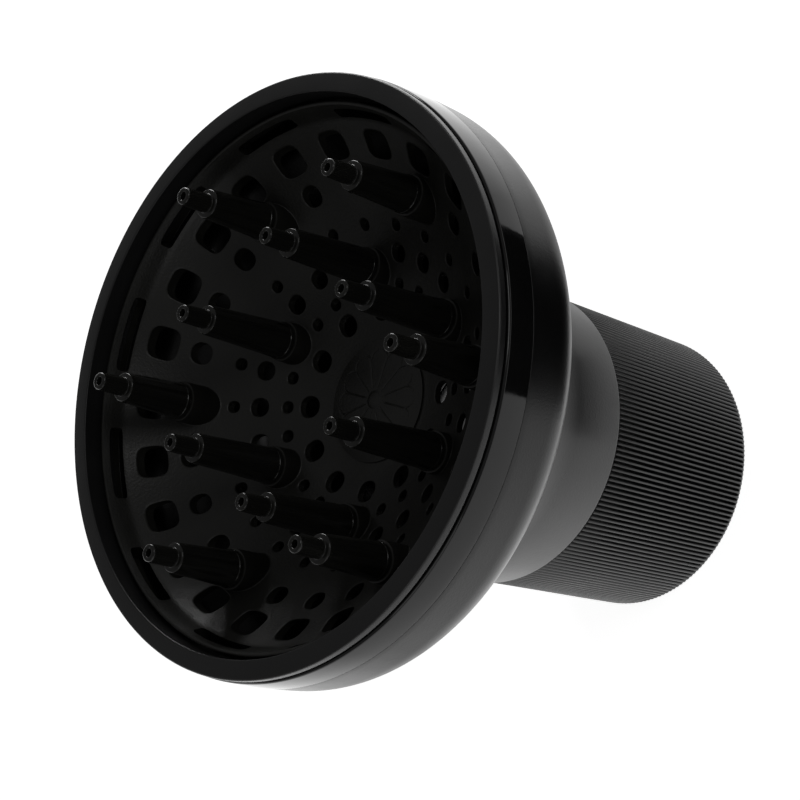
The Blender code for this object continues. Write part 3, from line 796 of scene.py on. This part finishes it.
# ---------------------------------------------------------------- grip sleeve
def make_sleeve(looks):
    """Ribbed sleeve: narrow rounded ribs with V-shaped grooves between them.

    The shares are places across one rib's pitch, and the depths how deep each lies in the groove.
    """
    top = NECK_Z - GAP
    shares = (0.0, 0.10, 0.20, 0.29, 0.36, 0.43, 0.57, 0.64, 0.71, 0.80, 0.90)
    depths = (1.0, 0.72, 0.42, 0.16, 0.04, 0.0, 0.0, 0.04, 0.16, 0.42, 0.72)
    ribbed = [(GRIP_TOP_RADIUS - 0.0005, top, 0.0), (GRIP_TOP_RADIUS - 0.0001, top - 0.0003, 0.4),
              (GRIP_TOP_RADIUS, top - 0.0007, 1.0)]
    taper = GRIP_REAR_RADIUS - GRIP_TOP_RADIUS
    ribbed += [(GRIP_TOP_RADIUS + taper * share, top * (1 - share), 1.0) for share in (0.25, 0.5, 0.75)]
    ribbed += [(GRIP_REAR_RADIUS, 0.0012, 1.0), (GRIP_REAR_RADIUS - 0.0001, 0.0006, 0.8),
               (GRIP_REAR_RADIUS - 0.0003, 0.0002, 0.3), (GRIP_REAR_RADIUS - 0.0006, 0.0, 0.0)]
    plain = [(GRIP_BORE + 0.0004, 0.0), (GRIP_BORE + 0.0001, 0.0001), (GRIP_BORE, 0.0004),
             (GRIP_BORE, COLLAR_TOP), (COLLAR_RADIUS - 0.0002, COLLAR_TOP),
             (COLLAR_RADIUS, COLLAR_TOP - 0.0002), (COLLAR_RADIUS, 0.0610),
             (COLLAR_RADIUS + 0.0006, 0.0606), (COLLAR_RADIUS + 0.0006, 0.0602),
             (COLLAR_RADIUS, 0.0597), (COLLAR_RADIUS, top)]
    rows = ribbed + [(*p, 0.0) for p in plain]
    count = len(rows)
    points, faces = [], []
    around = RIBS * len(shares)
    for rib in range(RIBS):
        for share, depth in zip(shares, depths):
            angle = math.tau * (rib + share) / RIBS
            points += [polar(r - depth * amount * RIB_DEPTH, angle, z) for r, z, amount in rows]
    for step in range(around):
        here, there = step * count, (step + 1) % around * count
        for i in range(count):
            j = (i + 1) % count
            faces.append((here + i, there + i, there + j, here + j))
    piece = make_mesh("grip_sleeve_fine", points, faces, 45)
    put(piece, "grip", "grip", looks["grip"], "grip_sleeve")


# ---------------------------------------------------------------- clamp inside the sleeve
def arc(radius, start, end, count):
    return [polar(radius, start + (end - start) * i / count)[:2] for i in range(count + 1)]


def sector(inner, outer, middle, half, count=16):
    return (arc(outer, middle - half, middle + half, count)
            + arc(inner, middle + half, middle - half, count))


def spiral_slot(start):
    """Outline of one cam slot, whose radius falls evenly with angle."""
    half, count = PIN_RADIUS + GAP, 30
    centres = [Vector(polar(PIN_OPEN - JAW_TRAVEL * i / count, start - GRIP_TURN * i / count)[:2])
               for i in range(count + 1)]
    left, right = [], []
    for i, point in enumerate(centres):
        run = (centres[min(i + 1, count)] - centres[max(i - 1, 0)]).normalized()
        side = Vector((-run.y, run.x)) * half
        left.append(point + side)
        right.append(point - side)

    def end_cap(centre, corner, forward):
        side = corner - centre
        return [centre + side * math.cos(a) + forward * math.sin(a) for a in spaced(0, math.pi, 8)[1:-1]]

    right.reverse()
    first = end_cap(centres[0], right[-1], (centres[0] - centres[1]).normalized() * half)
    last = end_cap(centres[-1], left[-1], (centres[-1] - centres[-2]).normalized() * half)
    return [(p.x, p.y) for p in first + left + last + right]


def turned_flat(points, turn):
    cosine, sine = math.cos(turn), math.sin(turn)
    return [(x * cosine - y * sine, x * sine + y * cosine) for x, y in points]


def make_cam_and_plate(looks):
    slots = [spiral_slot(math.tau * i / JAWS) for i in range(JAWS)]
    rings = [arc(r, 0, math.tau, 180)[:-1] for r in (COLLAR_RADIUS, PLATE_BORE, PLATE_RADIUS)]
    cam = slab("cam_flat", [rings[0], rings[1]] + slots, CAM_BOTTOM, CAM_TOP)
    put(cam, "grip", "mechanism", looks["mechanism"], "cam_ring")
    cam.name = "cam_ring_fine"
    corners = rectangle(PIN_OPEN - JAW_TRAVEL - 0.0025, PIN_OPEN + 0.0025, 0.0033)
    slots = [turned_flat(corners, math.tau * i / JAWS) for i in range(JAWS)]
    plate = slab("guide_plate_fine", [rings[2], rings[1]] + slots, PLATE_BOTTOM, PLATE_TOP)
    put(plate, "bowl", "mechanism", looks["mechanism"], "guide_plate")


def make_rear_ring(looks):
    outer = GRIP_BORE - GAP
    path = eased([(outer, 0.0040, 0.0002), (outer, 0.0006, 0.0002), (0.0350, 0.0006, 0.0004),
                  (0.0334, 0.0022, 0.0004), (0.0334, 0.0040, 0.0002)])
    put(lathe("rear_ring_fine", path, 180), "grip", "mechanism", looks["mechanism"], "rear_ring")


def jaw_shape():
    """Curved wall, foot, round cam pin and square guide key."""
    foot_top = CAM_BOTTOM - GAP
    curved = sector(JAW_INNER, JAW_OUTER, 0, JAW_HALF_ANGLE)
    wall = slab("wall", [curved], 0.0060, foot_top - 0.0002, 0.0003)
    foot = slab("foot", [sector(0.0318, JAW_OUTER, 0, JAW_HALF_ANGLE)], 0.0592, foot_top, 0.0003)
    circle = [(PIN_OPEN + x, y) for x, y in arc(PIN_RADIUS, 0, math.tau, 24)[:-1]]
    pin = slab("pin", [circle], 0.0600, PLATE_BOTTOM, 0.0001)
    square = rectangle(PIN_OPEN - KEY_HALF, PIN_OPEN + KEY_HALF, KEY_HALF)
    key = slab("key", [square], 0.0600, PLATE_TOP + 0.0016, 0.0001)
    return joined("jaw_shape", [wall, foot, pin, key])


def pad_shape():
    """Soft pad with shallow cross ribs on its gripping face."""
    inner, outer, half = 0.0325, JAW_INNER - GAP, JAW_HALF_ANGLE * 0.94
    low, high, margin = 0.0070, 0.0580, 0.0006
    pitch = (high - low - 2 * margin) / PAD_RIBS
    path = [(outer, low), (inner + 0.0005, low)]
    for rib in range(PAD_RIBS):
        base = low + margin + pitch * rib
        path += [(inner + 0.0004, base), (inner, base + pitch * 0.25), (inner, base + pitch * 0.65),
                 (inner + 0.0004, base + pitch * 0.9)]
    path += [(inner + 0.0005, high), (outer, high)]
    count, steps = len(path), 14
    points, faces = [], []
    for step in range(steps + 1):
        angle = -half + 2 * half * step / steps
        points += [polar(r, angle, z) for r, z in path]
    for step in range(steps):
        for i in range(count):
            j = (i + 1) % count
            a, b = step * count, (step + 1) * count
            faces.append((a + i, b + i, b + j, a + j))
    faces += [tuple(range(count)), tuple(reversed(range(steps * count, (steps + 1) * count)))]
    return make_mesh("pad_shape", points, faces, 50)


def make_jaws(looks):
    jaw, pad = jaw_shape(), pad_shape()
    shapes = (("jaw", jaw.data, "mechanism"), ("jaw_pad", pad.data, "pad"))
    for item in (jaw, pad):
        bpy.data.objects.remove(item)
    for number in range(1, JAWS + 1):
        for name, mesh, slot in shapes:
            piece = turned_copy(mesh, f"{name}_fine_{number}", math.tau * (number - 1) / JAWS)
            put(piece, f"jaw_{number}", slot, looks[slot], f"{name}_{number}")


def paint_kept_nodes(looks):
    """CAD nodes whose shape stays: their material slots get the finished materials."""
    kept = {f"plate_screw_{i}": "steel" for i in range(1, 4)}
    kept.update({f"jaw_slider_{i}": "mechanism" for i in range(1, JAWS + 1)})
    for name, look in kept.items():
        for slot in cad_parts[name].material_slots:
            slot.material = looks[look]


# ---------------------------------------------------------------- floor, light and camera
def table_surface(name, glow, pools=()):
    """Pale matt table, lit from under as well, and more so in soft pools of (middle, reach, rise)."""
    n = Nodes(name)
    tone = n.mix(n.spread(n.noise(3, 2), 0, 1), (0.86, 0.86, 0.86), (0.90, 0.90, 0.90))
    n.link(tone, n.shader.inputs["Base Color"])
    n.link(n.spread(n.noise(20, 3), 0.45, 0.6), n.shader.inputs["Roughness"])
    n.shader.inputs["Emission Color"].default_value = (1, 1, 1, 1)
    n.shader.inputs["Emission Strength"].default_value = glow
    total = None
    for middle, reach, rise in pools:
        mapping = n.add("ShaderNodeMapping", vector_type="TEXTURE")
        mapping.inputs["Location"].default_value = middle
        mapping.inputs["Scale"].default_value = (reach, reach, reach)
        ball = n.add("ShaderNodeTexGradient", gradient_type="SPHERICAL")
        n.link(n.place, mapping.inputs["Vector"])
        n.link(mapping.outputs["Vector"], ball.inputs["Vector"])
        low = glow if total is None else 0.0
        light = n.spread(ball.outputs["Fac"], low, low + rise, 0.0, 1.0)
        total = light if total is None else n.combine("ADD", total, light)
    if total:
        n.link(total, n.shader.inputs["Emission Strength"])
    return n.material


def flat_sheet(name, outline, height, material):
    """Flat sheet at a height, as part of the stage."""
    sheet = make_mesh(name, [(x, y, height) for x, y in outline], [tuple(range(len(outline)))])
    sheet.data.materials.append(material)
    sheet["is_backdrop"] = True
    return sheet


def make_floor():
    """The table as the camera sees it, and a dimmer one that lights the object and shows in its gloss."""
    table = [(-6, -6), (6, -6), (6, 6), (-6, 6)]
    seen = flat_sheet("floor", table, -0.0001, table_surface("table_seen", 0.88))
    seen.visible_glossy = False
    seen.visible_diffuse = False
    behind = ((0.26, 0.42, 0), 0.42, 3.6)
    beside_neck = ((-0.035, -0.065, 0), 0.13, 1.1)
    left = ((-0.26, 0.16, 0), 0.24, 1.6)
    bright = table_surface("table_glow", 0.62, (behind, beside_neck, left))
    glow = flat_sheet("floor_glow", table, -0.0002, bright)
    glow.visible_camera = False
    glow.visible_shadow = False


def make_dark_card():
    """Black card on the table at the camera's right, which the gloss ring shows with sharp edges."""
    n = Nodes("black_card")
    n.link(n.mix(n.noise(40), (0.001, 0.001, 0.001), (0.002, 0.002, 0.002)), n.shader.inputs["Base Color"])
    n.shader.inputs["Specular IOR Level"].default_value = 0.0
    outline = sector(0.087, 0.60, math.radians(-37), math.radians(26))
    card = flat_sheet("dark_card", outline, 0.0005, n.material)
    card.visible_camera = False
    card.visible_shadow = False


CAMERA_PLACE = Vector((0.13331, -0.49871, 0.59037))
CAMERA_TURN = Euler([math.radians(a) for a in (15.4057, 44.3485, -53.7113)])
CAMERA_LENS = 121.79
AIM = Vector((0, 0, 0.10))


def soft_light(name, azimuth, elevation, distance, size, brightness):
    """A soft box that faces the object, so many times as bright as a white sheet in full light."""
    light = bpy.data.lights.new(name, "AREA")
    light.shape = "RECTANGLE"
    light.size, light.size_y = size
    light.energy = brightness * math.pi * size[0] * size[1]
    item = bpy.data.objects.new(name, light)
    bpy.context.scene.collection.objects.link(item)
    around, up = math.radians(azimuth), math.radians(elevation)
    direction = Vector(polar(math.cos(up), around, math.sin(up)))
    item.location = AIM + direction * distance
    item.rotation_euler = (-direction).to_track_quat("-Z", "Y").to_euler()
    return item


def make_world():
    """A dim white surround that lights the object, and a white one that the camera sees."""
    world = bpy.data.worlds.new("studio")
    bpy.context.scene.world = world
    world.use_nodes = True
    tree = world.node_tree
    around = tree.nodes["Background"]
    seen = tree.nodes.new("ShaderNodeBackground")
    for background, strength in ((around, 0.14), (seen, 1.0)):
        background.inputs["Color"].default_value = (1, 1, 1, 1)
        background.inputs["Strength"].default_value = strength
    path = tree.nodes.new("ShaderNodeLightPath")
    mix = tree.nodes.new("ShaderNodeMixShader")
    tree.links.new(path.outputs["Is Camera Ray"], mix.inputs[0])
    tree.links.new(around.outputs[0], mix.inputs[1])
    tree.links.new(seen.outputs[0], mix.inputs[2])
    tree.links.new(mix.outputs[0], tree.nodes["World Output"].inputs["Surface"])


def make_lights():
    soft_light("key", 55, 9, 0.80, (0.40, 0.20), 7.5)
    soft_light("front_right", 325, 38, 1.20, (0.50, 0.40), 1.5)
    soft_light("front_left", 235, 26, 1.20, (0.75, 0.60), 0.5)
    soft_light("back_left", 150, 5, 1.20, (0.80, 0.36), 0.6)


def make_camera():
    """A long lens that looks down and into the bowl."""
    camera = bpy.data.cameras.new("camera")
    camera.lens = CAMERA_LENS
    camera.sensor_width = 36
    camera.clip_start, camera.clip_end = 0.01, 50
    item = bpy.data.objects.new("camera", camera)
    bpy.context.scene.collection.objects.link(item)
    item.location = CAMERA_PLACE
    item.rotation_euler = CAMERA_TURN
    bpy.context.scene.camera = item
    bpy.context.scene.view_settings.view_transform = "Standard"


LOOKS = make_materials()
make_shell(LOOKS)
make_trim(LOOKS)
make_bezel(LOOKS)
make_dish(LOOKS)
make_cap(LOOKS)
make_fingers(LOOKS)
make_sleeve(LOOKS)
make_cam_and_plate(LOOKS)
make_rear_ring(LOOKS)
make_jaws(LOOKS)
paint_kept_nodes(LOOKS)
make_floor()
make_dark_card()
make_world()
make_lights()
make_camera()

boxes = {"cad": CAD_BOX, "visual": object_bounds()}
{name: [list(corner) for corner in box] for name, box in boxes.items()}
